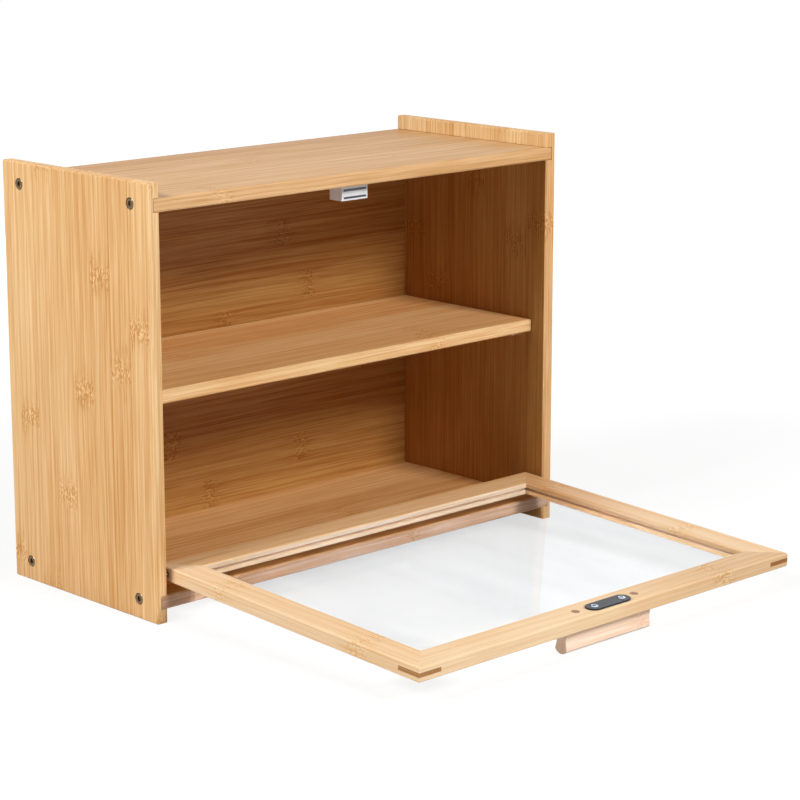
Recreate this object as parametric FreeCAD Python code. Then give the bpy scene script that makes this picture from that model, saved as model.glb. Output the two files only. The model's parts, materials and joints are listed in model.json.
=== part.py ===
"""Bamboo bread box with a middle shelf and a drop-down window door. Millimetres, +Z up.

X runs across the box and the door opens towards -Y. The origin is on the counter, in the
middle of the rectangle that the box covers with its door open.
"""
import FreeCAD, Part
import os
from math import asin, atan2, cos, degrees, hypot, radians, sin

Vector = FreeCAD.Vector

# ---- cabinet ----
cabinet_width = 390.0
cabinet_depth = 164.0
cabinet_height = 302.0
board = 9.5                 # thickness of the side, top, bottom and shelf boards
gallery_height = 10.5       # how far the sides stand above the top board
foot_height = 9.5           # how far the sides reach below the bottom board
edge_bevel = 1.0            # on the boards' edges
housing_depth = 5.5         # how deep the top and bottom boards sit in the sides
housing_fit = 0.2           # room above a board in its housing
housing_end_room = 0.5      # room beyond a board's end in its housing
back_thickness = 6.0
back_inset = 3.0            # the back panel lies this far in from the rear edges
back_bite = 4.0             # how deep the back panel sits in its grooves
back_fit = 0.15             # room on each side of the back panel in its grooves

# ---- shelf ----
shelf_height = 158.0        # top of the shelf above the counter
shelf_setback = 14.0        # from the cabinet's front
shelf_gap = 0.5             # room round a shelf that lifts out
shelf_pin_radius = 2.0
shelf_pin_seat = 6.0        # length of a pin inside the side panel
shelf_pin_reach = 9.0       # length of a pin under the shelf
shelf_pin_inset = 12.0      # from the shelf's front and rear edges

# ---- side bolts ----
bolt_setback = 19.5         # from the front and rear edges of the sides
bolt_length = 34.0
bolt_radius = 2.0
bolt_head_radius = 4.0
bolt_head_height = 1.8
bolt_head_room = 0.2
socket_width = 3.2          # hexagon across its flats
socket_depth = 1.3

# ---- door ----
door_side_gap = 4.0
door_bottom_gap = 3.0
door_top_gap = 2.5
door_thickness = 10.0
member_width = 22.5         # width of the stiles and rails
frame_bevel = 0.8
pane_thickness = 2.5
pane_bite = 6.0             # how deep the pane sits in the frame
pane_room = 1.0             # room at the bottom of the groove
pane_fit = 0.1              # room on each face of the pane
key_leg = 19.0
key_thickness = 3.0

# ---- pivot ----
pivot_edge = 10.0           # from the door's lower edge to the pins' axis
pivot_radius = 2.0
pivot_running = 0.06        # radial clearance of a pin in the door
pivot_seat = 6.0            # length of a pin inside the side panel
pivot_engage = 7.0          # length of a pin inside the door
pivot_end_room = 0.5

# ---- handle ----
handle_length = 83.0
handle_depth = 16.5
handle_root = 11.0
handle_neck = 8.0
handle_lip = 10.5
handle_lip_rise = 2.9       # height of the rounded free edge
handle_lip_ease = 0.8
handle_setback = 10.5       # from the door's free edge to the handle's middle
counter_room = 0.3          # under the handle when the door lies open

# ---- handle dowels ----
dowel_spacing = 58.0
dowel_radius = 3.0
dowel_bite = 6.0            # length of a dowel inside the handle

# ---- strike plate ----
strike_length = 40.0
strike_width = 11.5
strike_thickness = 1.2
strike_setback = 8.0        # from the door's free edge to the plate's middle
strike_screw_spacing = 27.0
strike_screw_radius = 1.3
strike_screw_length = 8.0
strike_head_radius = 3.0
strike_head_height = 0.7

# ---- magnetic catch ----
catch_width = 25.0
catch_depth = 13.0
catch_height = 12.0
catch_wall = 1.3
catch_ease = 0.7            # rounding of the housing's front corners
catch_gap = 0.3             # between the strike plate and the pole plates
pole_reach = 0.5            # how far the pole plates stand out of the housing
pole_width = 21.0
pole_depth = 10.5
pole_thickness = 1.0
magnet_height = 4.4
catch_web = 1.2             # front wall of the catch between the pole plates
pack_room = 0.2             # round the magnet and its plates in the housing
ear_reach = 9.0             # of an ear beyond the housing
ear_width = 9.0
ear_thickness = 2.5
ear_hole_radius = 1.6
ear_screw_radius = 1.3
ear_screw_bite = 6.0        # length of a screw inside the top board
ear_screw_head_radius = 2.6
ear_screw_head_height = 1.3

# ---- places that follow from the sizes ----
side_inner = cabinet_width / 2 - board
housing_floor = side_inner + housing_depth
bottom_top = foot_height + board
top_top = cabinet_height - gallery_height
top_underside = top_top - board
shelf_underside = shelf_height - board
door_width = 2 * (side_inner - door_side_gap)
door_low_z = bottom_top + door_bottom_gap
door_length = top_underside - door_top_gap - door_low_z
pivot_z = door_low_z + pivot_edge
door_reach = door_length - pivot_edge
half_door = door_thickness / 2
handle_reach = door_reach - handle_setback
strike_reach = door_reach - strike_setback
lip_radius = (handle_lip ** 2 / 4 + handle_lip_rise ** 2) / (2 * handle_lip_rise)
pane_groove = pane_thickness + 2 * pane_fit

# The open door lies on the rounded lip of its handle, so its tilt follows from the lip's
# place: reach * sin(tilt) + drop * cos(tilt) + lip_radius + counter_room = pivot_z.
lip_drop = half_door + handle_depth - lip_radius
open_tilt = degrees(
    asin((pivot_z - counter_room - lip_radius) / hypot(handle_reach, lip_drop))
    - atan2(lip_drop, handle_reach)
)
open_reach = (
    door_reach * cos(radians(open_tilt)) + half_door * sin(radians(open_tilt)) - half_door
)
front_y = (open_reach - cabinet_depth) / 2
rear_y = front_y + cabinet_depth
pivot_y = front_y + half_door
back_y = rear_y - back_inset - back_thickness
catch_y = front_y + door_thickness + strike_thickness + catch_gap + pole_reach
magnet_low_z = top_underside - catch_height + catch_wall + pack_room + pole_thickness
pole_plate_lows = (magnet_low_z - pole_thickness, magnet_low_z + magnet_height)
pack_rear = catch_y - pole_reach + pole_depth
ear_screw_x = catch_width / 2 + ear_reach - ear_width / 2
ear_y = catch_y + catch_depth / 2


def block(x, y, z):
    """Box between the two values of x, of y and of z."""
    return Part.makeBox(x[1] - x[0], y[1] - y[0], z[1] - z[0], Vector(x[0], y[0], z[0]))


def rod(radius, start, direction, length):
    """Round bar from start along direction."""
    return Part.makeCylinder(radius, length, Vector(*start), Vector(*direction))


def edges_along(shape, axis):
    """Straight edges of shape that run along the axis with that index."""
    found = []
    for edge in shape.Edges:
        run = edge.Vertexes[-1].Point - edge.Vertexes[0].Point
        if abs(run[axis]) > 0.99 * edge.Length:
            found.append(edge)
    return found


def bevelled_board(x, y, z, bevel, axes):
    """Board whose edges along those axes are bevelled."""
    blank = block(x, y, z)
    return blank.makeChamfer(bevel, [edge for axis in axes for edge in edges_along(blank, axis)])


def stadium(length, width, height):
    """Plate with round ends along X, centred on the origin, standing on z = 0."""
    radius = width / 2
    straight = length - width
    middle = block((-straight / 2, straight / 2), (-radius, radius), (0, height))
    ends = [rod(radius, (side * straight / 2, 0, 0), (0, 0, 1), height) for side in (-1, 1)]
    return middle.fuse(ends).removeSplitter()


def mirrored(shape):
    """The same piece on the other side of the box."""
    return shape.mirror(Vector(0, 0, 0), Vector(1, 0, 0))


def on_open_door(shape):
    """Moves a piece of the flat door, made with the pivot as origin, to its open place."""
    placed = shape.copy()
    placed.rotate(Vector(0, 0, 0), Vector(1, 0, 0), open_tilt)
    placed.translate(Vector(0, pivot_y, pivot_z))
    return placed


# ---- places of what repeats ----
bolt_places = [
    (y, z)
    for y in (front_y + bolt_setback, rear_y - bolt_setback)
    for z in (foot_height + board / 2, top_top - board / 2)
]
shelf_front = front_y + shelf_setback
shelf_rear = back_y - shelf_gap
shelf_pin_places = [
    (y, shelf_underside - shelf_pin_radius)
    for y in (shelf_front + shelf_pin_inset, shelf_rear - shelf_pin_inset)
]


def side_panel():
    """Right side: housings for the top, bottom and back, and holes for bolts and pins."""
    outer = cabinet_width / 2
    panel = bevelled_board((side_inner, outer), (front_y, rear_y), (0, cabinet_height),
                           edge_bevel, (1, 2))
    cuts = []
    for low in (foot_height, top_underside):
        cuts.append(block((side_inner - board, housing_floor),
                          (front_y - board, rear_y + board),
                          (low, low + board + housing_fit)))
    cuts.append(block((side_inner - board, side_inner + back_bite),
                      (back_y - back_fit, back_y + back_thickness + back_fit),
                      (foot_height, top_top)))
    for y, z in bolt_places:
        cuts.append(rod(bolt_radius + bolt_head_room, (side_inner, y, z), (1, 0, 0), board))
        cuts.append(rod(bolt_head_radius + bolt_head_room, (outer, y, z), (-1, 0, 0),
                        bolt_head_height))
    for y, z in shelf_pin_places:
        cuts.append(rod(shelf_pin_radius, (side_inner, y, z), (1, 0, 0), shelf_pin_seat))
    cuts.append(rod(pivot_radius, (side_inner, pivot_y, pivot_z), (1, 0, 0), pivot_seat))
    return panel.cut(cuts)


def end_board(low, groove_side):
    """Top or bottom board, housed in the sides and grooved for the back panel.

    groove_side is the direction of the face with the groove: 1 up, -1 down.
    """
    end = housing_floor - housing_end_room
    panel = bevelled_board((-end, end), (front_y, rear_y), (low, low + board), edge_bevel, (0,))
    inner_face = low if groove_side < 0 else low + board
    groove_z = sorted((inner_face, inner_face - groove_side * back_bite))
    cuts = [block((-housing_floor, housing_floor),
                  (back_y - back_fit, back_y + back_thickness + back_fit), groove_z)]
    for y, z in bolt_places:
        if low < z < low + board:
            for side in (-1, 1):
                cuts.append(rod(bolt_radius, (side * cabinet_width / 2, y, z), (-side, 0, 0),
                                bolt_length))
    return panel.cut(cuts)


def top_panel():
    """Top board, with pilot holes for the screws of the catch."""
    pilots = [rod(ear_screw_radius, (side * ear_screw_x, ear_y, top_underside), (0, 0, 1),
                  ear_screw_bite) for side in (-1, 1)]
    return end_board(top_underside, -1).cut(pilots)


def back_panel():
    """Thin panel in the grooves of the sides, top and bottom."""
    x = side_inner + back_bite - back_fit
    return block((-x, x), (back_y, back_y + back_thickness),
                 (bottom_top - back_bite + back_fit, top_underside + back_bite - back_fit))


def middle_shelf():
    """Shelf that lies loose on four pins."""
    x = side_inner - shelf_gap
    return bevelled_board((-x, x), (shelf_front, shelf_rear), (shelf_underside, shelf_height),
                          edge_bevel, (0,))


def shelf_pins():
    """Two pins in each side."""
    pins = []
    for y, z in shelf_pin_places:
        pin = rod(shelf_pin_radius, (side_inner + shelf_pin_seat, y, z), (-1, 0, 0),
                  shelf_pin_seat + shelf_pin_reach)
        pins += [pin, mirrored(pin)]
    return Part.makeCompound(pins)


def side_bolts():
    """Four bolts of the right side, with hexagon sockets in their flush heads."""
    outer = cabinet_width / 2
    bolts = []
    for y, z in bolt_places:
        head = rod(bolt_head_radius, (outer, y, z), (-1, 0, 0), bolt_head_height)
        shank = rod(bolt_radius, (outer, y, z), (-1, 0, 0), bolt_length)
        corner = socket_width / 2 / cos(radians(30))
        corners = [Vector(outer, y + corner * cos(radians(60 * k)), z + corner * sin(radians(60 * k)))
                   for k in range(7)]
        socket = Part.Face(Part.makePolygon(corners)).extrude(Vector(-socket_depth, 0, 0))
        bolts.append(head.fuse(shank).removeSplitter().cut(socket))
    return Part.makeCompound(bolts)


def pivot_pin():
    """Right-hand pin on which the door turns."""
    return rod(pivot_radius, (side_inner + pivot_seat, pivot_y, pivot_z), (-1, 0, 0),
               pivot_seat + door_side_gap + pivot_engage)


def catch_housing():
    """Shell under the top board, with two slots in front and an ear on each side."""
    low = top_underside - catch_height
    body = block((-catch_width / 2, catch_width / 2), (catch_y, catch_y + catch_depth),
                 (low, top_underside))
    corners = [edge for edge in edges_along(body, 2) if edge.CenterOfMass.y < ear_y]
    body = body.makeFillet(catch_ease, corners)
    ear_tip = catch_width / 2 + ear_reach
    ears = block((-ear_tip, ear_tip), (ear_y - ear_width / 2, ear_y + ear_width / 2),
                 (top_underside - ear_thickness, top_underside))
    pack_x = (-pole_width / 2 - pack_room, pole_width / 2 + pack_room)
    pocket = block(pack_x, (catch_y + catch_web, pack_rear + pack_room),
                   (magnet_low_z, magnet_low_z + magnet_height))
    slots = [block(pack_x, (catch_y - catch_wall, pack_rear + pack_room),
                   (plate_low - pack_room, plate_low + pole_thickness + pack_room))
             for plate_low in pole_plate_lows]
    holes = [rod(ear_hole_radius, (side * ear_screw_x, ear_y, low), (0, 0, 1), catch_height)
             for side in (-1, 1)]
    return body.fuse(ears).removeSplitter().cut([pocket] + slots + holes)


def catch_pole_plates():
    """Two steel plates above and below the magnet."""
    return Part.makeCompound([
        block((-pole_width / 2, pole_width / 2), (pack_rear - pole_depth, pack_rear),
              (plate_low, plate_low + pole_thickness)) for plate_low in pole_plate_lows])


def catch_magnet():
    """Flat magnet between the pole plates, behind the front wall."""
    return block((-pole_width / 2, pole_width / 2),
                 (catch_y + catch_web + pack_room, pack_rear),
                 (magnet_low_z, magnet_low_z + magnet_height))


def catch_screws():
    """Two round-head screws up through the ears."""
    screws = []
    for side in (-1, 1):
        seat = (side * ear_screw_x, ear_y, top_underside - ear_thickness)
        head = rod(ear_screw_head_radius, seat, (0, 0, -1), ear_screw_head_height)
        shank = rod(ear_screw_radius, seat, (0, 0, 1), ear_thickness + ear_screw_bite)
        screws.append(head.fuse(shank).removeSplitter())
    return Part.makeCompound(screws)


# ---- door: made flat, with the pivot axis as origin and the free edge towards -Y ----
half_width = door_width / 2
opening_x = half_width - member_width
opening_y = (-door_reach + member_width, pivot_edge - member_width)


def corner_key():
    """Triangular key across the mitre of the free edge and the right-hand side."""
    corner = Vector(half_width, -door_reach, -key_thickness / 2)
    points = [corner, corner + Vector(-key_leg, 0, 0), corner + Vector(0, key_leg, 0), corner]
    return Part.Face(Part.makePolygon(points)).extrude(Vector(0, 0, key_thickness))


def pivot_bores():
    """Blind bores for the two pins."""
    depth = pivot_engage + pivot_end_room
    return [rod(pivot_radius + pivot_running, (side * half_width, 0, 0), (-side, 0, 0), depth)
            for side in (-1, 1)]


def handle_dowels():
    """Two dowels through the rail into the handle, flush with the door's inner face."""
    return [rod(dowel_radius, (side * dowel_spacing / 2, -handle_reach, half_door), (0, 0, -1),
                door_thickness + dowel_bite) for side in (-1, 1)]


def strike_shanks():
    """Shanks of the two screws of the strike plate."""
    top = half_door + strike_thickness
    return [rod(strike_screw_radius, (side * strike_screw_spacing / 2, -strike_reach, top),
                (0, 0, -1), strike_screw_length) for side in (-1, 1)]


def strike_heads():
    """Heads of the same screws, flush with the strike plate."""
    top = half_door + strike_thickness
    return [rod(strike_head_radius, (side * strike_screw_spacing / 2, -strike_reach, top),
                (0, 0, -1), strike_head_height) for side in (-1, 1)]


def frame_blank():
    """The whole door frame with its groove, key slots and bores, before it is parted."""
    blank = block((-half_width, half_width), (-door_reach, pivot_edge), (-half_door, half_door))
    opening = block((-opening_x, opening_x), opening_y, (-half_door, half_door))
    ring = blank.cut(opening)
    long_edges = edges_along(ring, 0) + edges_along(ring, 1)
    ring = ring.makeChamfer(frame_bevel, long_edges)
    bite = pane_bite + pane_room
    groove = block((-opening_x - bite, opening_x + bite),
                   (opening_y[0] - bite, opening_y[1] + bite),
                   (-pane_groove / 2, pane_groove / 2))
    slots = [corner_key(), mirrored(corner_key())]
    return ring.cut([groove] + slots + pivot_bores() + handle_dowels() + strike_shanks())


def door_prism(outline):
    """Prism through the door's thickness over an outline of x and y."""
    corners = [Vector(x, y, -half_door) for x, y in outline + outline[:1]]
    return Part.Face(Part.makePolygon(corners)).extrude(Vector(0, 0, door_thickness))


def frame_members():
    """Stiles and rails, parted along the mitres."""
    blank = frame_blank()
    middle = (pivot_edge - door_reach) / 2
    half_length = door_length / 2
    meet = half_width - half_length
    stile = door_prism([(half_width, middle + half_length), (meet, middle),
                        (half_width, middle - half_length)])
    rail = door_prism([(half_width, -door_reach), (meet, middle), (-meet, middle),
                       (-half_width, -door_reach)])
    return {
        "door_stile_right": blank.common(stile),
        "door_stile_left": blank.common(mirrored(stile)),
        "door_handle_rail": blank.common(rail),
        "door_hinge_rail": blank.common(rail.mirror(Vector(0, middle, 0), Vector(0, 1, 0))),
    }


def window_pane():
    """Clear plate in the frame's groove."""
    return block((-opening_x - pane_bite, opening_x + pane_bite),
                 (opening_y[0] - pane_bite, opening_y[1] + pane_bite),
                 (-pane_thickness / 2, pane_thickness / 2))


def handle():
    """Bar with a waisted section and a rounded free edge, under the open door."""
    lip_z = handle_lip_rise - handle_depth
    root_left, root_right = [Vector(0, side * handle_root / 2, 0) for side in (-1, 1)]
    neck_left, neck_right = [Vector(0, side * handle_neck / 2, lip_z / 2) for side in (-1, 1)]
    lip_left, lip_right = [Vector(0, side * handle_lip / 2, lip_z) for side in (-1, 1)]
    outline = Part.Wire([
        Part.Arc(root_right, neck_right, lip_right).toShape(),
        Part.Arc(lip_right, Vector(0, 0, -handle_depth), lip_left).toShape(),
        Part.Arc(lip_left, neck_left, root_left).toShape(),
        Part.makeLine(root_left, root_right),
    ])
    bar = Part.Face(outline).extrude(Vector(handle_length, 0, 0))
    lips = [edge for edge in edges_along(bar, 0) if edge.CenterOfMass.z < lip_z / 2]
    bar = bar.makeFillet(handle_lip_ease, lips)
    bar.translate(Vector(-handle_length / 2, -handle_reach, -half_door))
    return bar.cut(handle_dowels())


def strike_plate():
    """Steel plate with round ends and recessed screw holes, which the catch holds."""
    plate = stadium(strike_length, strike_width, strike_thickness)
    plate.translate(Vector(0, -strike_reach, half_door))
    return plate.cut(strike_heads() + strike_shanks())


def strike_screws():
    """The two screws of the strike plate."""
    return Part.makeCompound([head.fuse(shank).removeSplitter()
                              for head, shank in zip(strike_heads(), strike_shanks())])


# ---- write every piece ----
right_side = side_panel()
right_bolts = side_bolts()
right_pin = pivot_pin()
pieces = {
    "side_panel_right": right_side,
    "side_panel_left": mirrored(right_side),
    "top_panel": top_panel(),
    "bottom_panel": end_board(foot_height, 1),
    "back_panel": back_panel(),
    "middle_shelf": middle_shelf(),
    "shelf_pins": shelf_pins(),
    "side_bolts_right": right_bolts,
    "side_bolts_left": mirrored(right_bolts),
    "pivot_pin_right": right_pin,
    "pivot_pin_left": mirrored(right_pin),
    "catch_housing": catch_housing(),
    "catch_pole_plates": catch_pole_plates(),
    "catch_magnet": catch_magnet(),
    "catch_screws": catch_screws(),
}
door_pieces = {
    **frame_members(),
    "corner_key_right": corner_key(),
    "corner_key_left": mirrored(corner_key()),
    "window_pane": window_pane(),
    "handle": handle(),
    "handle_dowels": Part.makeCompound(handle_dowels()),
    "strike_plate": strike_plate(),
    "strike_screws": strike_screws(),
}
for name, shape in door_pieces.items():
    pieces[name] = on_open_door(shape)

os.makedirs("parts", exist_ok=True)
for name, shape in pieces.items():
    shape.exportStep("parts/" + name + ".step")
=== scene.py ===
"""Bamboo bread box with a middle shelf and a drop-down window door, in metres."""
import json
from math import atan, cos, pi, radians, sin

import bmesh
import bpy
from mathutils import Matrix, Vector


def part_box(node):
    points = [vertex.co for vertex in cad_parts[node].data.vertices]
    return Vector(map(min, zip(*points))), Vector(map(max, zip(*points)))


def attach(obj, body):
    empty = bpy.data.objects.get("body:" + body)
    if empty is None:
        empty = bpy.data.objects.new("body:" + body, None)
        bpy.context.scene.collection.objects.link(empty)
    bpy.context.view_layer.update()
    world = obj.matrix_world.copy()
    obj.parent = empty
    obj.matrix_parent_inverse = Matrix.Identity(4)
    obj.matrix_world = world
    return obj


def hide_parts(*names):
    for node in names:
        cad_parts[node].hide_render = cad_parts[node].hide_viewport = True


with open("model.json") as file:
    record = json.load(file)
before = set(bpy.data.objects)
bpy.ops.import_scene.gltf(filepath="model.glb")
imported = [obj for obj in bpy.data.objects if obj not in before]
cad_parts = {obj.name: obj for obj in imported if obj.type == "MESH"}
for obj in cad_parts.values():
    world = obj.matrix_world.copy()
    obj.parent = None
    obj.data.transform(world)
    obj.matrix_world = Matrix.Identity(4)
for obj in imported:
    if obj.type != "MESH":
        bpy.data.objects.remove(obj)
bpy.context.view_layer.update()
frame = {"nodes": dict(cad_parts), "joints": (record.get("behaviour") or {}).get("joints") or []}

# ---- counter, light and camera ----
# The box stands on a pale counter before a white backdrop. A softbox high on its left gives
# the main light, a wide one in front and above fills the shade, and a low one behind
# lights the back panel.


def node(tree, kind, inputs=None, **settings):
    """Adds a node. The inputs are values, or sockets to link."""
    made = tree.nodes.new(kind)
    for name, value in settings.items():
        setattr(made, name, value)
    for key, value in (inputs or {}).items():
        if isinstance(value, bpy.types.NodeSocket):
            tree.links.new(value, made.inputs[key])
        else:
            made.inputs[key].default_value = value
    return made


def calc(tree, operation, *values):
    """Socket with the result of a sum on numbers or sockets."""
    return node(tree, "ShaderNodeMath", dict(enumerate(values)), operation=operation).outputs[0]


def direct_sight(tree):
    """1 for what the camera sees, straight, in a reflection or through the pane.

    Light that has been scattered first, as by the wood under the pane, doesn't count.
    """
    path = node(tree, "ShaderNodeLightPath").outputs
    seen = calc(tree, "MAXIMUM", path["Is Camera Ray"], path["Is Glossy Ray"])
    seen = calc(tree, "MAXIMUM", seen, path["Is Transmission Ray"])
    return calc(tree, "MULTIPLY", seen, calc(tree, "LESS_THAN", path["Diffuse Depth"], 0.5))


backdrop = bpy.data.worlds.new("backdrop")
backdrop.use_nodes = True
tree = backdrop.node_tree
tree.nodes.clear()
room_light = node(tree, "ShaderNodeBackground", {"Color": (1.0, 0.99, 0.97, 1), "Strength": 0.03})
white = node(tree, "ShaderNodeBackground", {"Color": (1, 1, 1, 1), "Strength": 1.0})
either = node(tree, "ShaderNodeMixShader", {0: direct_sight(tree), 1: room_light.outputs[0],
                                            2: white.outputs[0]})
node(tree, "ShaderNodeOutputWorld", {"Surface": either.outputs[0]})
bpy.context.scene.world = backdrop
bpy.context.scene.view_settings.view_transform = "Standard"

# what the camera sees of the counter pales to white away from the box, and from below the
# counter is open
counter_finish = bpy.data.materials.new("counter")
counter_finish.use_nodes = True
tree = counter_finish.node_tree
tree.nodes.clear()
matt = node(tree, "ShaderNodeBsdfDiffuse", {"Color": (0.65, 0.65, 0.65, 1)})
shade = node(tree, "ShaderNodeBsdfDiffuse", {"Color": (0.17, 0.17, 0.17, 1)})
spot = node(tree, "ShaderNodeTexCoord").outputs["Object"]
away = node(tree, "ShaderNodeVectorMath", {0: spot}, operation="LENGTH").outputs["Value"]
level = node(tree, "ShaderNodeMapRange", {"Value": away, "From Min": 0.35, "From Max": 1.3,
                                          "To Min": 0.86, "To Max": 1.0})
glow = node(tree, "ShaderNodeEmission", {"Color": (1, 1, 1, 1), "Strength": level.outputs[0]})
seen = node(tree, "ShaderNodeAddShader", {0: shade.outputs[0], 1: glow.outputs[0]})
either = node(tree, "ShaderNodeMixShader", {0: direct_sight(tree), 1: matt.outputs[0],
                                            2: seen.outputs[0]})
from_below = node(tree, "ShaderNodeNewGeometry").outputs["Backfacing"]
open_below = node(tree, "ShaderNodeMixShader", {
    0: from_below, 1: either.outputs[0], 2: node(tree, "ShaderNodeBsdfTransparent").outputs[0]})
node(tree, "ShaderNodeOutputMaterial", {"Surface": open_below.outputs[0]})

counter_half = 8
counter_mesh = bpy.data.meshes.new("counter")
counter_mesh.from_pydata([(x * counter_half, y * counter_half, 0)
                          for x, y in ((-1, -1), (1, -1), (1, 1), (-1, 1))], [], [(0, 1, 2, 3)])
counter_mesh.materials.append(counter_finish)
counter = bpy.data.objects.new("counter", counter_mesh)
bpy.context.scene.collection.objects.link(counter)
box_middle = Vector((0, 0.05, 0.15))


def softbox(name, direction, distance, size, power):
    """Square lamp that faces the middle of the box from that direction."""
    lamp = bpy.data.lights.new(name, "AREA")
    lamp.size, lamp.energy = size, power
    made = bpy.data.objects.new(name, lamp)
    towards = Vector(direction).normalized()
    made.location = box_middle + towards * distance
    made.rotation_mode = "QUATERNION"
    made.rotation_quaternion = towards.to_track_quat("Z", "Y")
    made.visible_camera = False
    bpy.context.scene.collection.objects.link(made)


softbox("left softbox", (-0.80, 0.06, 0.60), distance=2.6, size=0.80, power=50.5)
softbox("front softbox", (0.12, -0.80, 0.56), distance=2.4, size=0.7, power=46.0)
softbox("rear softbox", (0.30, 0.85, -0.03), distance=1.6, size=0.3, power=9.0)

lens = bpy.data.cameras.new("camera")
lens.lens, lens.sensor_width = 115.62, 36
camera = bpy.data.objects.new("camera", lens)
camera.location = (-1.22466, -1.28186, 0.54157)
looks_at = Vector((0.01052, 0.01592, 0.12822))
camera.rotation_mode = "QUATERNION"
camera.rotation_quaternion = (looks_at - camera.location).to_track_quat("-Z", "Y")
bpy.context.scene.collection.objects.link(camera)
bpy.context.scene.camera = camera

# ---- side panels ----
# Two 9.5 mm boards of upright bamboo strips, glued edge to edge, sanded and lacquered. They
# stand above the top board as a low gallery and below the bottom board as feet.


def blend_colours(tree, share, first, second):
    """Socket with a mix of two colours. The colour sockets of a Mix node are 6 and 7."""
    return node(tree, "ShaderNodeMix", {0: share, 6: first, 7: second}, data_type="RGBA",
                clamp_factor=True).outputs[2]


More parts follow.
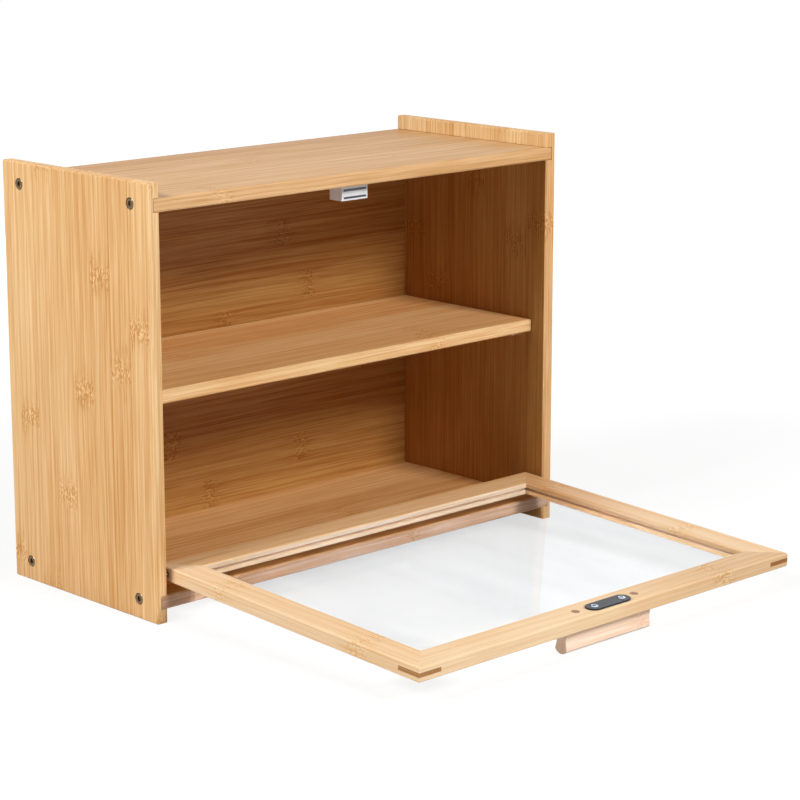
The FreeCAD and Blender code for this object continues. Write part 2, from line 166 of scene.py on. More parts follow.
def strip_group():
    """Colour, roughness and height of glued bamboo strips.

    Place runs along the strips, across them and into the board, in metres.
    """
    tree = bpy.data.node_groups.new("bamboo strips", "ShaderNodeTree")
    face = tree.interface
    face.new_socket("Place", in_out="INPUT", socket_type="NodeSocketVector")
    for name, value in (("Strip Width", 0.022), ("Seed", 0.0), ("Figure", 1.0), ("Knots", 1.0),
                        ("Knot Spacing", 0.31), ("Knot Turn", -1.0)):
        socket = face.new_socket(name, in_out="INPUT", socket_type="NodeSocketFloat")
        socket.default_value = value
    for name in ("Light", "Dark"):
        face.new_socket(name, in_out="INPUT", socket_type="NodeSocketColor")
    face.new_socket("Color", in_out="OUTPUT", socket_type="NodeSocketColor")
    for name in ("Roughness", "Height"):
        face.new_socket(name, in_out="OUTPUT", socket_type="NodeSocketFloat")
    source = node(tree, "NodeGroupInput").outputs
    place = node(tree, "ShaderNodeSeparateXYZ", {0: source["Place"]}).outputs
    along, across, deep = place[0], place[1], place[2]

    # which strip, and how far the point is from the strip's edge
    counted = calc(tree, "ADD", calc(tree, "DIVIDE", across, source["Strip Width"]),
                   source["Seed"])
    strip = calc(tree, "FLOOR", counted)
    inside = calc(tree, "FRACT", counted)
    near_edge = calc(tree, "MULTIPLY",
                     calc(tree, "MINIMUM", inside, calc(tree, "SUBTRACT", 1.0, inside)),
                     source["Strip Width"])
    label = node(tree, "ShaderNodeCombineXYZ", {0: strip, 1: source["Seed"]})
    chance = node(tree, "ShaderNodeSeparateColor", {
        0: node(tree, "ShaderNodeTexWhiteNoise", {"Vector": label.outputs[0]},
                noise_dimensions="2D").outputs["Color"]}).outputs
    joint_label = node(tree, "ShaderNodeCombineXYZ",
                       {0: calc(tree, "ROUND", counted), 1: source["Seed"]})
    joint_chance = node(tree, "ShaderNodeTexWhiteNoise", {"Vector": joint_label.outputs[0]},
                        noise_dimensions="2D").outputs["Value"]
    joint = calc(tree, "MULTIPLY",
                 node(tree, "ShaderNodeMapRange",
                      {"Value": near_edge, "From Min": 0.0001, "From Max": 0.0006,
                       "To Min": 1.0, "To Max": 0.0}, interpolation_type="SMOOTHSTEP").outputs[0],
                 calc(tree, "POWER", joint_chance, 2.0))

    # fibres: each strip has its own, shifted along by chance
    sway = node(tree, "ShaderNodeTexNoise", {
        "Vector": node(tree, "ShaderNodeVectorMath", {0: source["Place"], 1: (5.0, 14.0, 14.0)},
                       operation="MULTIPLY").outputs[0],
        "Scale": 1.0, "Detail": 1.0}).outputs[0]
    swayed = calc(tree, "MULTIPLY_ADD", calc(tree, "SUBTRACT", sway, 0.5), 0.005, across)
    shifted = node(tree, "ShaderNodeCombineXYZ", {
        0: calc(tree, "MULTIPLY_ADD", chance[0], 3.7, along),
        1: calc(tree, "MULTIPLY_ADD", chance[1], 0.9, swayed),
        2: deep})

    def grain(stretch, detail):
        scaled = node(tree, "ShaderNodeVectorMath", {0: shifted.outputs[0], 1: stretch},
                      operation="MULTIPLY")
        return node(tree, "ShaderNodeTexNoise",
                    {"Vector": scaled.outputs[0], "Scale": 1.0, "Detail": detail,
                     "Roughness": 0.6}).outputs[0]

    def between(value, low, high, first=0.0, last=1.0):
        return node(tree, "ShaderNodeMapRange",
                    {"Value": value, "From Min": low, "From Max": high, "To Min": first,
                     "To Max": last}, interpolation_type="SMOOTHSTEP").outputs[0]

    streak = between(grain((4.0, 480.0, 480.0), 2.5), 0.37, 0.63)
    fibre = between(grain((20.0, 1150.0, 1150.0), 1.5), 0.37, 0.63)
    cloud = grain((5.0, 22.0, 22.0), 1.0)
    wander = grain((70.0, 160.0, 160.0), 2.0)
    dash = grain((430.0, 900.0, 900.0), 1.0)
    wisp = grain((60.0, 800.0, 800.0), 1.0)

    # knots: where the cane had its joints, with wisps of fibre drawn out on both sides
    given = calc(tree, "GREATER_THAN", source["Knot Turn"], -0.5)
    turn = node(tree, "ShaderNodeMix", {0: given, 2: chance[2], 3: source["Knot Turn"]},
                data_type="FLOAT").outputs[0]
    turns = calc(tree, "ADD", calc(tree, "DIVIDE", along, source["Knot Spacing"]), turn)
    off = calc(tree, "MULTIPLY", calc(tree, "SUBTRACT", calc(tree, "FRACT", turns), 0.5),
               source["Knot Spacing"])
    off = calc(tree, "ABSOLUTE",
               calc(tree, "MULTIPLY_ADD", calc(tree, "SUBTRACT", wander, 0.5), 0.026, off))
    knot = between(off, 0.001, 0.011, 1.0, 0.0)
    drawn_out = between(off, 0.004, 0.024, 1.0, 0.0)
    knot_shade = calc(tree, "MULTIPLY", knot, between(dash, 0.42, 0.60, -0.30, 0.60))
    knot_shade = calc(tree, "MULTIPLY_ADD", drawn_out, between(wisp, 0.50, 0.68, 0.0, 0.5),
                      knot_shade)
    knot_shade = calc(tree, "MULTIPLY", knot_shade, source["Knots"])

    # how far each point lies from the light colour towards the dark one
    tone = calc(tree, "MULTIPLY_ADD", chance[0], 0.24, 0.06)
    tone = calc(tree, "MULTIPLY_ADD", streak,
                calc(tree, "MULTIPLY", source["Figure"], 0.33), tone)
    tone = calc(tree, "MULTIPLY_ADD", fibre,
                calc(tree, "MULTIPLY", source["Figure"], 0.32), tone)
    tone = calc(tree, "MULTIPLY_ADD", calc(tree, "SUBTRACT", cloud, 0.5), 0.5, tone)
    tone = calc(tree, "ADD", tone, calc(tree, "MULTIPLY_ADD", joint, 0.55, knot_shade))
    colour = blend_colours(tree, tone, source["Light"], source["Dark"])

    # glue lines lie low, streaks and knots stand up
    height = calc(tree, "MULTIPLY_ADD", joint, -0.8, calc(tree, "MULTIPLY", streak, 0.35))
    height = calc(tree, "MULTIPLY_ADD", knot, calc(tree, "MULTIPLY", dash, 0.6), height)
    rough = calc(tree, "MULTIPLY_ADD", streak, 0.14, 0.42)
    node(tree, "NodeGroupOutput", {"Color": colour, "Roughness": rough, "Height": height})
    return tree


strips = strip_group()
pivot = Vector(frame["joints"][0]["pos_m"])

# the open door slopes down from its pivot by this much, with the handle's lip on the counter
open_tilt = radians(2.4701)


def within(tree, spot, low, high, fade):
    """1 inside the box between two corners, 0 outside, with a fade inwards from its faces."""
    low, high = Vector(low), Vector(high)
    away = node(tree, "ShaderNodeVectorMath", {0: spot, 1: (low + high) / 2},
                operation="SUBTRACT")
    away = node(tree, "ShaderNodeVectorMath", {0: away.outputs[0]}, operation="ABSOLUTE")
    away = node(tree, "ShaderNodeVectorMath", {0: away.outputs[0], 1: (high - low) / 2},
                operation="SUBTRACT")
    parts = node(tree, "ShaderNodeSeparateXYZ", {0: away.outputs[0]}).outputs
    furthest = calc(tree, "MAXIMUM", calc(tree, "MAXIMUM", parts[0], parts[1]), parts[2])
    return node(tree, "ShaderNodeMapRange", {"Value": furthest, "From Min": 0.0,
                                             "From Max": -fade}).outputs[0]


def place_on(tree, on_door):
    """Socket with the place of a point on the box, or on the door laid level at its pivot."""
    spot = node(tree, "ShaderNodeTexCoord").outputs["Object"]
    if not on_door:
        return spot
    return node(tree, "ShaderNodeMapping", {"Vector": spot, "Location": pivot,
                                            "Rotation": (open_tilt, 0, 0)},
                vector_type="TEXTURE").outputs[0]


def toned(tree, spot, colour, tones):
    """Multiplies the colour inside boxes. Each has two corners, a factor and perhaps a fade."""
    sharp = 0.00001
    for low, high, factor, *fade in tones:
        inside = within(tree, spot, low, high, fade[0] if fade else sharp)
        colour = node(tree, "ShaderNodeMix", {0: inside, 6: colour, 7: (*factor, 1)},
                      data_type="RGBA", blend_type="MULTIPLY").outputs[2]
    return colour


def bamboo(name, along, across, light, dark, seed, width=0.022, figure=1.0, knots=1.0,
           spacing=0.31, on_door=False, first_strip=0.0, knot_places=(), tones=()):
    """Lacquered bamboo whose strips run along one axis and lie side by side on another.

    knot_places has the place of the knot in each strip, from the strip that starts at
    first_strip. The tones change the colour, as in toned.
    """
    made = bpy.data.materials.new(name)
    made.use_nodes = True
    tree = made.node_tree
    tree.nodes.clear()
    spot = place_on(tree, on_door)
    axes = node(tree, "ShaderNodeSeparateXYZ", {0: spot}).outputs
    order = ["XYZ".index(along), "XYZ".index(across)]
    order.append(3 - sum(order))
    grain_place = node(tree, "ShaderNodeCombineXYZ", {i: axes[k] for i, k in enumerate(order)})
    look = node(tree, "ShaderNodeGroup", node_tree=strips)
    tree.links.new(grain_place.outputs[0], look.inputs["Place"])
    for key, value in (("Strip Width", width), ("Seed", seed - first_strip / width),
                       ("Figure", figure), ("Knots", knots), ("Knot Spacing", spacing),
                       ("Light", (*light, 1)), ("Dark", (*dark, 1))):
        look.inputs[key].default_value = value
    if knot_places:
        span = width * len(knot_places)
        ramp = node(tree, "ShaderNodeValToRGB", {0: calc(
            tree, "DIVIDE", calc(tree, "SUBTRACT", axes[order[1]], first_strip), span)})
        stops = ramp.color_ramp
        stops.interpolation = "CONSTANT"
        stops.elements.remove(stops.elements[1])
        for k, place in enumerate(knot_places):
            stop = stops.elements[0] if k == 0 else stops.elements.new(k / len(knot_places))
            stop.color = ((0.5 - place / spacing) % 1.0,) * 3 + (1,)
        tree.links.new(ramp.outputs[0], look.inputs["Knot Turn"])
    bump = node(tree, "ShaderNodeBump", {"Strength": 0.35, "Distance": 0.0003,
                                         "Height": look.outputs["Height"]})
    skin = node(tree, "ShaderNodeBsdfPrincipled", {
        "Base Color": toned(tree, spot, look.outputs["Color"], tones),
        "Roughness": look.outputs["Roughness"], "Normal": bump.outputs[0],
        "Specular IOR Level": 0.25, "Coat Weight": 0.05, "Coat Roughness": 0.35})
    node(tree, "ShaderNodeOutputMaterial", {"Surface": skin.outputs[0]})
    return made


def finish_node(name, material):
    """Gives a solid its material."""
    solid = frame["nodes"][name]
    if not solid.material_slots:
        solid.data.materials.append(material)
    for slot in solid.material_slots:
        slot.material = material


honey, caramel = (0.95, 0.64, 0.32), (0.62, 0.28, 0.072)
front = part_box("side_panel_left")[0].y
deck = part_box("top_panel")[1].z
inner_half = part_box("side_panel_right")[0].x + 0.0002

# a tone's box reaches far on the sides where it has no limit, and the first strip starts a
# little before the front, so that no glue line lies on the front edge
far, lead, edge_skin = 1, 0.0015, 0.0008
# painted light: a board's front edge is made paler, as where the front softbox falls on it; other
# boards use this box with their own factor
front_edge_painted_light = ((-far, -far, -far), (far, front + edge_skin, far), (1.03, 1.12, 1.28))
inside_front = front + 0.001
# painted shade: faces inside the box, below the top board, are darkened as where shade falls
# there
inside_painted_shade = ((-inner_half, inside_front, 0), (inner_half, far, deck), (0.67, 0.57, 0.38))
finish_node("side_panel_left", bamboo(
    "bamboo_left_side", "Z", "Y", honey, caramel, seed=7, width=0.0213, first_strip=0.019,
    knot_places=(0.307, 0.202, 0.171, 0.233, 0.151, 0.074, 0.307, 0.123, 0.020),
    tones=(front_edge_painted_light, inside_painted_shade)))
finish_node("side_panel_right", bamboo(
    "bamboo_right_side", "Z", "Y", honey, caramel, seed=9, first_strip=front - lead,
    knot_places=(0.233, 0.217, 0.004, 0.262, 0.004, 0.172, 0.216, 0.004),
    # painted shade on its front edge and, more strongly, inside the box; painted light on the
    # gallery's inner face above the top board, where the left softbox falls
    tones=((*front_edge_painted_light[:2], (0.93, 0.90, 0.91)), (*inside_painted_shade[:2], (0.60, 0.50, 0.32)),
           ((-inner_half, inside_front, deck + 0.0002), (inner_half, far, far),
            (1.08, 1.22, 1.40)))))

# ---- top and bottom boards ----
# Boards of strips that run across the box. Their ends sit in housings in the sides, and a
# bolt through each side draws every corner up tight. In these long strips a knot placed at
# bare lies off the board, and so does the next one.
long_spacing, bare, rear_strip = 0.42, 0.2, 0.1792
finish_node("top_panel", bamboo(
    "bamboo_top", "X", "Y", (0.78, 0.50, 0.255), (0.51, 0.24, 0.066), seed=15, width=0.0235,
    knots=0.6, spacing=long_spacing, first_strip=front - lead,
    knot_places=(-0.131, bare, 0.07, bare, -0.02, bare, bare),
    # painted light on its front edge and painted shade on its underside inside the box
    tones=((*front_edge_painted_light[:2], (1.05, 1.05, 1.07)), inside_painted_shade,
           ((-far, rear_strip, -far), (far, far, far), (0.93, 0.88, 0.82)))))
finish_node("bottom_panel", bamboo(
    "bamboo_bottom", "X", "Y", (0.88, 0.57, 0.265), (0.56, 0.24, 0.06), seed=27, knots=0.6,
    spacing=long_spacing, first_strip=front - lead,
    knot_places=(0.047, -0.045, bare, 0.047, bare, bare, bare, bare),
    # painted shade: its front edge is made darker and less yellow, as in the door's shadow seen
    # through the pane
    tones=((*front_edge_painted_light[:2], (0.78, 0.92, 1.65)),)))

# ---- back panel ----
# Thin bamboo panel, its strips level. It lies in grooves in the four boards round it and is
# held when they are bolted up.
finish_node("back_panel", bamboo(
    "bamboo_back", "X", "Z", (0.56, 0.31, 0.095), (0.33, 0.112, 0.016), seed=33, width=0.0215,
    figure=1.1, knots=0.8, spacing=long_spacing, first_strip=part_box("bottom_panel")[1].z,
    knot_places=(-0.021, 0.073, -0.057, bare, 0.143, bare, -0.003, 0.082, bare, 0.055, bare,
                 bare, bare)))

# ---- middle shelf ----
# Loose board of strips like the top's. It lies on four pins, set back from the front, and
# lifts out.
shelf_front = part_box("middle_shelf")[0].y
finish_node("middle_shelf", bamboo(
    "bamboo_shelf", "X", "Y", (1.0, 0.67, 0.325), (0.74, 0.315, 0.08), seed=41, knots=0.7,
    spacing=long_spacing, first_strip=shelf_front - lead,
    knot_places=(0.085, 0.095, bare, -0.099, bare, bare, bare),
    # painted light: its front edge is made less yellow, as where the front softbox falls on it
    tones=(((-far, -far, -far), (far, shelf_front + edge_skin, far), (0.94, 1.01, 1.14)),)))

# ---- shelf pins ----
# Four plain steel pins, pressed into blind holes in the sides, with eased tips. The shelf
# rests on them.


def turned(name, rings, corners=()):
    """Turned piece along +Z from rings of (height, radius).

    A radius may be a function of the angle, as for a socket. It starts and ends in a point
    on the axis, given as a radius of 0. The angles of corners get points of their own.
    """
    around = 48
    angles = sorted({round(2 * pi * k / around, 6) for k in range(around)}
                    | {round(a % (2 * pi), 6) for a in corners})
    shell = bmesh.new()
    loops = []
    for height, radius in rings:
        if radius == 0:
            loops.append([shell.verts.new((0, 0, height))])
        else:
            reach = radius if callable(radius) else lambda a, r=radius: r
            loops.append([shell.verts.new((reach(a) * cos(a), reach(a) * sin(a), height))
                          for a in angles])
    for low, high in zip(loops, loops[1:]):
        for k in range(len(angles)):
            m = (k + 1) % len(angles)
            corner_points = [low[k % len(low)], low[m % len(low)], high[m % len(high)],
                             high[k % len(high)]]
            shell.faces.new(list(dict.fromkeys(corner_points)))
    bmesh.ops.recalc_face_normals(shell, faces=shell.faces)
    mesh = bpy.data.meshes.new(name)
    shell.to_mesh(mesh)
    shell.free()
    mesh.polygons.foreach_set("use_smooth", [True] * len(mesh.polygons))
    mesh.set_sharp_from_angle(angle=radians(32))
    return mesh


def rows_tree():
    """Geometry nodes that rotate a piece and copy it in rows, across and up."""
    tree = bpy.data.node_groups.new("rows of fasteners", "GeometryNodeTree")
    face = tree.interface
    face.new_socket("Geometry", in_out="INPUT", socket_type="NodeSocketGeometry")
    for name, kind in (("Turn", "NodeSocketRotation"), ("First Place", "NodeSocketVector"),
                       ("Across", "NodeSocketVector"), ("Up", "NodeSocketVector"),
                       ("Across Count", "NodeSocketInt"), ("Up Count", "NodeSocketInt"),
                       ("Finish", "NodeSocketMaterial")):
        face.new_socket(name, in_out="INPUT", socket_type=kind)
    face.new_socket("Geometry", in_out="OUTPUT", socket_type="NodeSocketGeometry")
    source = node(tree, "NodeGroupInput").outputs
    piece = node(tree, "GeometryNodeTransform", {"Geometry": source["Geometry"],
                                                 "Rotation": source["Turn"]})
    first = node(tree, "GeometryNodeMeshLine", {"Count": source["Across Count"],
                                                "Offset": source["Across"]}, mode="OFFSET")
    row = node(tree, "GeometryNodeInstanceOnPoints", {"Points": first.outputs[0],
                                                      "Instance": piece.outputs[0]})
    second = node(tree, "GeometryNodeMeshLine", {"Count": source["Up Count"],
                                                 "Start Location": source["First Place"],
                                                 "Offset": source["Up"]}, mode="OFFSET")
    rows = node(tree, "GeometryNodeInstanceOnPoints", {
        "Points": second.outputs[0],
        "Instance": node(tree, "GeometryNodeRealizeInstances", {0: row.outputs[0]}).outputs[0]})
    solid = node(tree, "GeometryNodeRealizeInstances", {0: rows.outputs[0]})
    finish = node(tree, "GeometryNodeSetMaterial", {"Geometry": solid.outputs[0],
                                                    "Material": source["Finish"]})
    node(tree, "NodeGroupOutput", {"Geometry": finish.outputs[0]})
    return tree


rows = rows_tree()


def set_out(name, mesh, material, body, stands_for, first, turn=(0, 0, 0),
            across=(0, 0, 0), across_count=1, up=(0, 0, 0), up_count=1):
    """Copies a turned piece in rows and puts the result in place of its solid."""
    made = bpy.data.objects.new(name, mesh)
    bpy.context.scene.collection.objects.link(made)
    live = made.modifiers.new("rows", "NODES")
    live.node_group = rows
    sockets = {s.name: s.identifier for s in rows.interface.items_tree
               if s.item_type == "SOCKET" and s.in_out == "INPUT"}
    for key, value in (("Turn", turn), ("First Place", first), ("Across", across), ("Up", up)):
        live[sockets[key]] = [float(v) for v in value]
    for key, value in (("Across Count", across_count), ("Up Count", up_count),
                       ("Finish", material)):
        live[sockets[key]] = value
    bpy.context.view_layer.update()
    ready = made.evaluated_get(bpy.context.evaluated_depsgraph_get())
    plain = bpy.data.meshes.new_from_object(ready)
    plain.name = name
    made.modifiers.remove(live)
    made.data = plain
    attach(made, body)
    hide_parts(stands_for)


def metal(name, colour, dark, rough, metallic=1.0, on_door=False, tones=()):
    """Metal with faint cloudy wear in its colour and shine. The tones are as in toned."""
    made = bpy.data.materials.new(name)
    made.use_nodes = True
    tree = made.node_tree
    tree.nodes.clear()
    spot = place_on(tree, on_door)
    wear = node(tree, "ShaderNodeTexNoise", {"Vector": spot, "Scale": 300.0, "Detail": 3.0})
    shade = toned(tree, spot, blend_colours(tree, wear.outputs[0], (*colour, 1), (*dark, 1)),
                  tones)
    shine = node(tree, "ShaderNodeMapRange", {"Value": wear.outputs[0], "To Min": rough * 0.75,
                                              "To Max": rough * 1.25})
    bump = node(tree, "ShaderNodeBump", {"Strength": 0.1, "Distance": 0.0001,
                                         "Height": wear.outputs[0]})
    skin = node(tree, "ShaderNodeBsdfPrincipled", {
        "Base Color": shade, "Roughness": shine.outputs[0], "Metallic": metallic,
        "Normal": bump.outputs[0]})
    node(tree, "ShaderNodeOutputMaterial", {"Surface": skin.outputs[0]})
    return made


pin_length, pin_radius = 0.015, 0.002
pin_low, pin_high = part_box("shelf_pins")


def plain_pin(name, length, radius):
    """Round pin with eased ends, its middle at the origin."""
    half, ease = length / 2, 0.0005
    return turned(name, [(-half, 0), (-half, 0.75 * radius), (ease - half, radius),
                         (half - ease, radius), (half, 0.75 * radius), (half, 0)])


# the steel's faint pink tint is painted reflection of the bamboo round the pins
pin_steel = metal("pin_steel", (0.88, 0.82, 0.84), (0.74, 0.68, 0.70), rough=0.42)
set_out("shelf_pins_steel", plain_pin("shelf_pin", pin_length, pin_radius), pin_steel,
        "cabinet", "shelf_pins", turn=(0, pi / 2, 0),
        first=(pin_low.x + pin_length / 2, pin_low.y + pin_radius, pin_low.z + pin_radius),
        across=(pin_high.x - pin_low.x - pin_length, 0, 0), across_count=2,
        up=(0, pin_high.y - pin_low.y - 2 * pin_radius, 0), up_count=2)

# ---- side bolts ----
# Four dark bronzed furniture bolts in each side, with hexagon sockets. Their flat heads lie
# flush in counterbores, and their shanks run into the ends of the top and bottom boards.
bolt_length, bolt_radius, head_radius, head_height = 0.034, 0.002, 0.004, 0.0018
socket_half, socket_depth, socket_rim = 0.0016, 0.0013, 0.00025


def hexagon(half_width):
    """Radius of a hexagon at an angle, from half its width across the flats."""
    return lambda angle: half_width / cos((angle + pi / 6) % (pi / 3) - pi / 6)


# shank, head with a rounded rim and a dished top, and the socket
bolt_shape = turned("side_bolt", [
    (-bolt_length, 0), (-bolt_length, bolt_radius), (-head_height, bolt_radius),
    (-head_height, head_radius), (-0.0009, head_radius), (-0.0005, head_radius - 0.00012),
    (-0.0002, head_radius - 0.0004), (-0.00003, head_radius - 0.0008),
    (0, head_radius - 0.0011), (-0.00008, head_radius - 0.0015),
    (-0.0003, hexagon(socket_half + socket_rim)), (-socket_depth, hexagon(socket_half)),
    (-socket_depth - 0.0003, 0)])
bronze = metal("dark_bronze", (0.30, 0.205, 0.11), (0.09, 0.063, 0.038), rough=0.20)
for side, turn in (("left", -pi / 2), ("right", pi / 2)):
    low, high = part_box("side_bolts_" + side)
    outer = low.x if side == "left" else high.x
    set_out("side_bolts_%s_bronze" % side, bolt_shape.copy(), bronze, "cabinet",
            "side_bolts_" + side, turn=(0, turn, 0),
            first=(outer, low.y + head_radius, low.z + head_radius),
            across=(0, high.y - low.y - 2 * head_radius, 0), across_count=2,
            up=(0, 0, high.z - low.z - 2 * head_radius), up_count=2)

# ---- pivot pins ----
# A steel pin in each side, low down near the front. The door turns on the two, which reach
# into blind bores in its stiles.
pivot_steel = metal("pivot_steel", (0.22, 0.20, 0.19), (0.13, 0.12, 0.11), rough=0.36)
for side in ("left", "right"):
    low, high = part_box("pivot_pin_" + side)
    set_out("pivot_pin_%s_steel" % side, plain_pin("pivot_pin", high.x - low.x, pin_radius),
            pivot_steel, "cabinet", "pivot_pin_" + side, turn=(0, pi / 2, 0),
            first=(low + high) / 2)

# ---- magnetic catch ----
# White moulded housing under the top board, held by two round-head screws through its ears.
# A flat magnet lies inside it between two steel plates that reach out at the front.


def eased(name, stands_for, width, material, body):
    """Copy of a solid with rounded edges, in its place."""
    mesh = frame["nodes"][stands_for].data.copy()
    mesh.name = name
    shell = bmesh.new()
    shell.from_mesh(mesh)
    bmesh.ops.remove_doubles(shell, verts=shell.verts, dist=1e-6)
    bmesh.ops.dissolve_limit(shell, angle_limit=radians(1), verts=shell.verts,
                             edges=shell.edges)
    shell.to_mesh(mesh)
    shell.free()
    mesh.materials.clear()
    mesh.materials.append(material)
    mesh.polygons.foreach_set("use_smooth", [True] * len(mesh.polygons))
    made = bpy.data.objects.new(name, mesh)
    bpy.context.scene.collection.objects.link(made)
    bevel = made.modifiers.new("eased edges", "BEVEL")
    bevel.width, bevel.segments = width, 2
    bevel.limit_method, bevel.angle_limit = "ANGLE", radians(40)
    bevel.harden_normals = True
    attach(made, body)
    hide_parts(stands_for)


def moulded(name, colour, rough):
    """Moulded plastic with a faint uneven shine."""
    made = bpy.data.materials.new(name)
    made.use_nodes = True
    tree = made.node_tree
    tree.nodes.clear()
    spot = node(tree, "ShaderNodeTexCoord").outputs["Object"]
    flow = node(tree, "ShaderNodeTexNoise", {"Vector": spot, "Scale": 180.0, "Detail": 2.0})
    mottle = 0.04
    darker = [c * (1 - mottle) for c in colour]
    shade = blend_colours(tree, flow.outputs[0], (*colour, 1), (*darker, 1))
    shine = node(tree, "ShaderNodeMapRange", {"Value": flow.outputs[0], "To Min": rough * 0.85,
                                              "To Max": rough * 1.15})
    bump = node(tree, "ShaderNodeBump", {"Strength": 0.08, "Distance": 0.0001,
                                         "Height": flow.outputs[0]})
    skin = node(tree, "ShaderNodeBsdfPrincipled", {
        "Base Color": shade, "Roughness": shine.outputs[0], "Normal": bump.outputs[0]})
    node(tree, "ShaderNodeOutputMaterial", {"Surface": skin.outputs[0]})
    return made


housing_ease = 0.00035
eased("catch_housing_white", "catch_housing", housing_ease,
      moulded("white_plastic", (0.85, 0.86, 0.90), rough=0.36), "cabinet")
finish_node("catch_pole_plates",
            metal("pole_steel", (0.13, 0.135, 0.15), (0.08, 0.08, 0.09), rough=0.4))
finish_node("catch_magnet", metal("magnet_ferrite", (0.05, 0.05, 0.055), (0.03, 0.03, 0.03),
                                  rough=0.6, metallic=0.3))


def cross(reach, half_arm):
    """Radius of a cross recess at an angle, and the angles of its corners."""
    def radius(angle):
        a = (angle + pi / 4) % (pi / 2) - pi / 4
        return reach / cos(a) if abs(a) < atan(half_arm / reach) else half_arm / sin(abs(a))
    bend = atan(half_arm / reach)
    corners = [quarter * pi / 2 + a for quarter in range(4) for a in (-bend, bend, pi / 4)]
    return radius, corners


recess, recess_corners = cross(reach=0.0013, half_arm=0.0003)
recess_floor, _ = cross(reach=0.0008, half_arm=0.00025)
screw_length, screw_radius, screw_point = 0.0085, 0.0013, 0.0008
round_head, round_height = 0.0026, 0.0013

# tapered tip, shank, domed head and cross recess
catch_screw = turned("catch_screw", [
    (-screw_length, 0), (-screw_length, screw_point), (0.001 - screw_length, screw_radius),
    (0, screw_radius), (0, round_head), (0.0003, round_head), (0.0008, round_head - 0.0005),
    (0.00115, round_head - 0.0012), (0.0012, recess), (0.0004, recess_floor), (0.0002, 0)],
    recess_corners)
screw_steel = metal("bright_steel", (0.74, 0.80, 0.90), (0.58, 0.63, 0.72), rough=0.15)
low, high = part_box("catch_screws")
set_out("catch_screws_steel", catch_screw, screw_steel, "cabinet",
        "catch_screws", turn=(pi, 0, 0),
        first=(low.x + round_head, (low.y + high.y) / 2, low.z + round_height),
        across=(high.x - low.x - 2 * round_head, 0, 0), across_count=2)

# ---- door frame ----
# Two stiles and two rails of solid bamboo, mitred and glued, with a groove for the pane.
# Each is a single paler strip, so its few knots run right across it.
cream, straw = (0.97, 0.76, 0.52), (0.76, 0.43, 0.17)

# one strip covers a whole member; the sizes are those of the door laid level at its pivot,
# where it reaches towards -Y with its inner face up
one_strip = 0.3
door_half, door_reach, behind_pivot = 0.1815, 0.2475, 0.010
member_width, door_face, inner_skin = 0.0225, 0.005, 0.0004
opening_half, opening_reach = door_half - member_width, door_reach - member_width
rail_inner = behind_pivot - member_width
groove_depth, groove_half = 0.0072, 0.0014

# painted shade and light on the door frame: the hinge rail's upper face is darker, in the box's
# shadow; the upper half of its inner face is paler, where the front softbox falls, and the
# lower half under the pane less yellow, to tone down the light through the pane; the right
# stile is darker towards the pivot, in the box's shadow, and paler on its inner face, where
# the front softbox falls; the handle rail is a touch darker as a whole and darker towards
# its right end, where the light from the left falls off
hinge_rail_tones = (
    ((-far, rail_inner + 0.0005, door_face - 0.0005), (far, far, far), (0.92, 0.855, 0.74)),
    ((-far, -far, 0), (far, rail_inner + inner_skin, far), (1.09, 1.25, 1.66)),
    ((-far, -far, -far), (far, rail_inner + inner_skin, 0), (0.92, 1.01, 1.25)))
right_stile_tones = (
    ((-far, -0.14, -far), (far, far, far), (0.86, 0.73, 0.60), 0.08),
    ((-far, -far, -far), (opening_half + inner_skin, far, far), (1.03, 1.12, 1.35)))
handle_rail_tones = (
    ((-far, -far, -far), (far, far, far), (0.96, 0.93, 0.88)),
    ((0, -far, -far), (far, far, far), (0.83, 0.78, 0.73), 0.13))
# painted shade: the groove's walls get a faint purple cast, like the shade seen in it through the
# pane
groove_painted_shade = ((-opening_half - groove_depth, -opening_reach - groove_depth, -groove_half),
              (opening_half + groove_depth, rail_inner + groove_depth, groove_half),
              (1.03, 0.97, 1.12))
for name, start, seed, knot, spacing, strength, tones in (
        ("door_stile_left", -door_half, 51, -0.054, 0.136, 0.6, ()),
        ("door_stile_right", opening_half, 58, -0.031, 0.13, 0.7, right_stile_tones),
        ("door_hinge_rail", rail_inner, 65, 0.178, 0.31, 0.3, hinge_rail_tones),
        ("door_handle_rail", -door_reach, 72, 0.112, 0.31, 0.9, handle_rail_tones)):
    run = ("Y", "X") if "stile" in name else ("X", "Y")
    finish_node(name, bamboo("bamboo_" + name, *run, cream, straw, seed, width=one_strip,
                             figure=0.8, knots=strength, spacing=spacing, on_door=True,
                             first_strip=start, knot_places=(knot,),
                             tones=(*tones, groove_painted_shade)))

# ---- corner keys and handle dowels ----
# Darker hardwood: a thin triangle let into each mitre of the free edge, the right one from a
# redder piece, and two dowels that hold the handle, sanded flush with the inner face.
hardwood = {"width": 0.05, "on_door": True, "knots": 0.0}
for side, light, dark in (("left", (0.50, 0.25, 0.08), (0.30, 0.12, 0.03)),
                          ("right", (0.37, 0.135, 0.022), (0.22, 0.068, 0.010))):
    finish_node("corner_key_" + side, bamboo("key_wood_" + side, "Y", "Z", light, dark,
                                             seed=77.7, **hardwood))
finish_node("handle_dowels", bamboo("dowel_wood", "Z", "Y", (0.45, 0.26, 0.15),
                                    (0.28, 0.14, 0.08), seed=79.1, **hardwood))

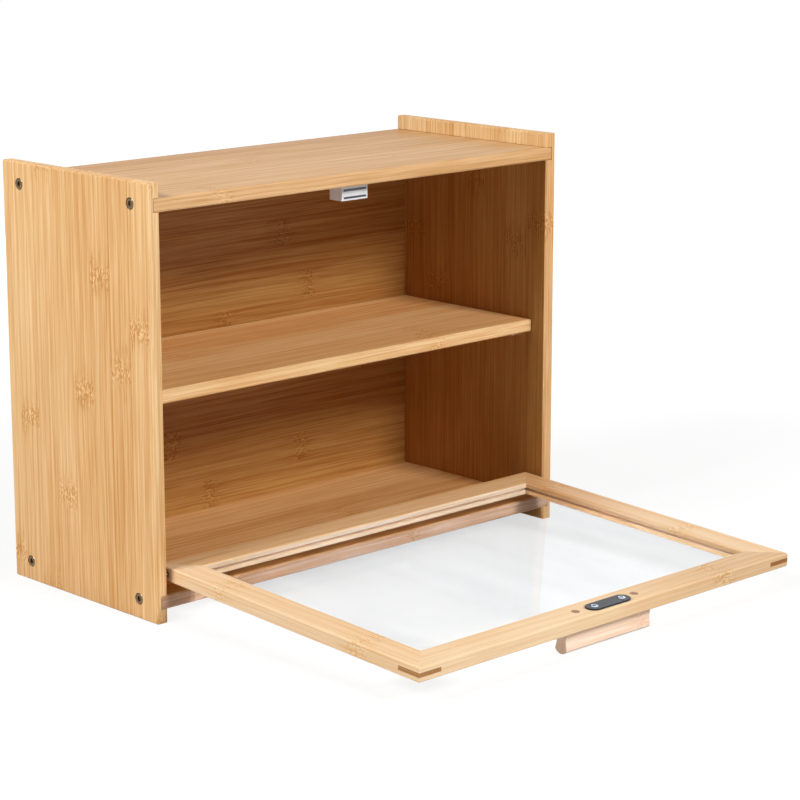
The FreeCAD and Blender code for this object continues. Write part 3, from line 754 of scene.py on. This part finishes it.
# ---- window pane ----
# Clear acrylic plate, 2.5 mm thick. It is put into the groove as the frame is glued up and
# lies loose in it.
pane = bpy.data.materials.new("clear_pane")
pane.use_nodes = True
tree = pane.node_tree
tree.nodes.clear()
spot = node(tree, "ShaderNodeTexCoord").outputs["Object"]
blotch_stretch = node(tree, "ShaderNodeMapping", {"Vector": spot, "Scale": (1.0, 0.35, 1.0)})
blotches = node(tree, "ShaderNodeTexNoise", {"Vector": blotch_stretch.outputs[0], "Scale": 26.0,
                                         "Detail": 1.5}).outputs[0]
shine = node(tree, "ShaderNodeMapRange", {"Value": blotches, "To Min": 0.0, "To Max": 0.03})
# painted shade: the grey of the pane's tint, deeper in soft blotches, stands for the counter's
# shadow seen through it
tint = blend_colours(tree, blotches, (0.92, 0.94, 0.95, 1), (0.78, 0.797, 0.808, 1))
clear = node(tree, "ShaderNodeBsdfPrincipled", {
    "Base Color": tint, "Roughness": shine.outputs[0], "IOR": 1.10,
    "Transmission Weight": 1.0})
through = node(tree, "ShaderNodeBsdfTransparent", {"Color": (0.86, 0.86, 0.86, 1)})
shadow = node(tree, "ShaderNodeLightPath").outputs["Is Shadow Ray"]
surface = node(tree, "ShaderNodeMixShader", {0: shadow, 1: clear.outputs[0],
                                             2: through.outputs[0]})
node(tree, "ShaderNodeOutputMaterial", {"Surface": surface.outputs[0]})
finish_node("window_pane", pane)

# ---- handle ----
# Bamboo bar with a waist for the fingers, under the rail at the free edge. The open door
# rests on its rounded lip.
finish_node("handle", bamboo("bamboo_handle", "X", "Y", (1.0, 0.85, 0.69), (0.86, 0.55, 0.37),
                             seed=91, width=one_strip, on_door=True, knots=0.7,
                             first_strip=-one_strip, knot_places=(0.031,)))

# ---- strike plate and its screws ----
# Thin dark steel plate with round ends, held down on the handle rail by two raised
# cross-head screws. The magnet holds it when the door is shut.
plate_length, plate_width, plate_thickness, plate_rim = 0.040, 0.0115, 0.0012, 0.00015
plate_reach, plate_hole, screw_spacing = door_reach - 0.008, 0.00295, 0.027
door_place = Matrix.Translation(pivot) @ Matrix.Rotation(open_tilt, 4, "X")


def ring(curve, points):
    """Adds a closed outline to a flat curve."""
    line = curve.splines.new("POLY")
    line.points.add(len(points) - 1)
    for spot, (x, y) in zip(line.points, points):
        spot.co = (x, y, 0, 1)
    line.use_cyclic_u = True


def arc(x, radius, first, last, count):
    """Points of an arc about (x, 0), without its last one."""
    return [(x + radius * cos(first + (last - first) * k / count),
             radius * sin(first + (last - first) * k / count)) for k in range(count)]


outline = bpy.data.curves.new("strike_plate", "CURVE")
outline.dimensions, outline.fill_mode = "2D", "BOTH"
outline.extrude = plate_thickness / 2 - plate_rim
outline.bevel_depth, outline.bevel_resolution, outline.offset = plate_rim, 1, -plate_rim
straight, end_radius = (plate_length - plate_width) / 2, plate_width / 2
ring(outline, arc(straight, end_radius, -pi / 2, pi / 2, 24) + [(straight, end_radius)]
     + arc(-straight, end_radius, pi / 2, 3 * pi / 2, 24) + [(-straight, -end_radius)])
for side in (-1, 1):
    ring(outline, arc(side * screw_spacing / 2, plate_hole, 0, 2 * pi, 32))
drawn = bpy.data.objects.new("strike_plate_outline", outline)
bpy.context.scene.collection.objects.link(drawn)
bpy.context.view_layer.update()
plate_mesh = bpy.data.meshes.new_from_object(
    drawn.evaluated_get(bpy.context.evaluated_depsgraph_get()))
bpy.data.objects.remove(drawn)
plate_mesh.transform(door_place @ Matrix.Translation(
    (0, -plate_reach, door_face + plate_thickness / 2)))
plate_mesh.polygons.foreach_set("use_smooth", [True] * len(plate_mesh.polygons))
plate_mesh.set_sharp_from_angle(angle=radians(50))
plate_mesh.materials.clear()
plate_mesh.materials.append(metal("slate_steel", (0.016, 0.022, 0.036), (0.009, 0.013, 0.022),
                                  rough=0.30, metallic=0.4))
strike = bpy.data.objects.new("strike_plate_slate", plate_mesh)
bpy.context.scene.collection.objects.link(strike)
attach(strike, "door")
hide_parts("strike_plate")

recess, recess_corners = cross(reach=0.0020, half_arm=0.00052)
recess_floor, _ = cross(reach=0.0012, half_arm=0.0004)
strike_screw_length, strike_screw_point, low_head, head_sunk = 0.008, 0.0006, 0.0029, 0.0011

# tapered tip, shank, head let into the plate with a low domed top, and cross recess
strike_screw = turned("strike_screw", [
    (-strike_screw_length, 0), (-strike_screw_length, strike_screw_point),
    (0.0012 - strike_screw_length, screw_radius), (-head_sunk, screw_radius),
    (-head_sunk, low_head), (0.00005, low_head), (0.00022, low_head - 0.0002),
    (0.00036, low_head - 0.0005), (0.00043, low_head - 0.0007), (0.00045, recess),
    (-0.0008, recess_floor), (-0.001, 0)], recess_corners)
plate_face = door_face + plate_thickness
# painted shade: below the plate's face, in the cross recess, the screw head is darkened as where
# shade falls
recess_painted_shade = ((-far, -far, 0), (far, far, plate_face + 0.0001), (0.10, 0.12, 0.16))
strike_steel = metal("strike_screw_steel", (0.78, 0.86, 0.96), (0.62, 0.70, 0.80), rough=0.12,
                     on_door=True, tones=(recess_painted_shade,))
set_out("strike_screws_steel", strike_screw, strike_steel, "door",
        "strike_screws", turn=(open_tilt, 0, 0),
        first=door_place @ Vector((-screw_spacing / 2, -plate_reach, plate_face)),
        across=(screw_spacing, 0, 0), across_count=2)
